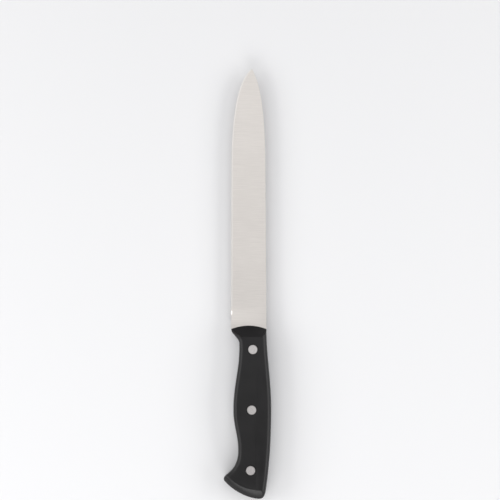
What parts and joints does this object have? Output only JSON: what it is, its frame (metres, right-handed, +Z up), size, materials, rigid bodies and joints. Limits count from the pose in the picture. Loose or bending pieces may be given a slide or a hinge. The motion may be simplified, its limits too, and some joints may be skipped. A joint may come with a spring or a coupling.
{
  "type": "carving knife",
  "caption": "Full-tang carving knife: long taper-ground steel blade, black moulded scales with a finger notch and a hooked butt, and flush cutler's rivets.",
  "frame": {"origin": "middle of the knife's box, on the surface that the right side lies on", "axes": "+Y towards the tip, +X towards the spine (the cutting edge is at -X), +Z up out of the left side of the handle"},
  "size_m": [0.0366, 0.3318, 0.018],
  "materials": {
    "blade_steel": "satin, ground across the blade",
    "black_scale": "moulded, low sheen",
    "rivet_steel": "ground flush, satin"
  },
  "bodies": {
    "root": {"blade": "blade_steel", "left_scale": "black_scale", "right_scale": "black_scale", "front_rivet_shank": "rivet_steel", "middle_rivet_shank": "rivet_steel", "rear_rivet_shank": "rivet_steel", "front_rivet_tube": "rivet_steel", "middle_rivet_tube": "rivet_steel", "rear_rivet_tube": "rivet_steel"}
  },
  "joints": []
}
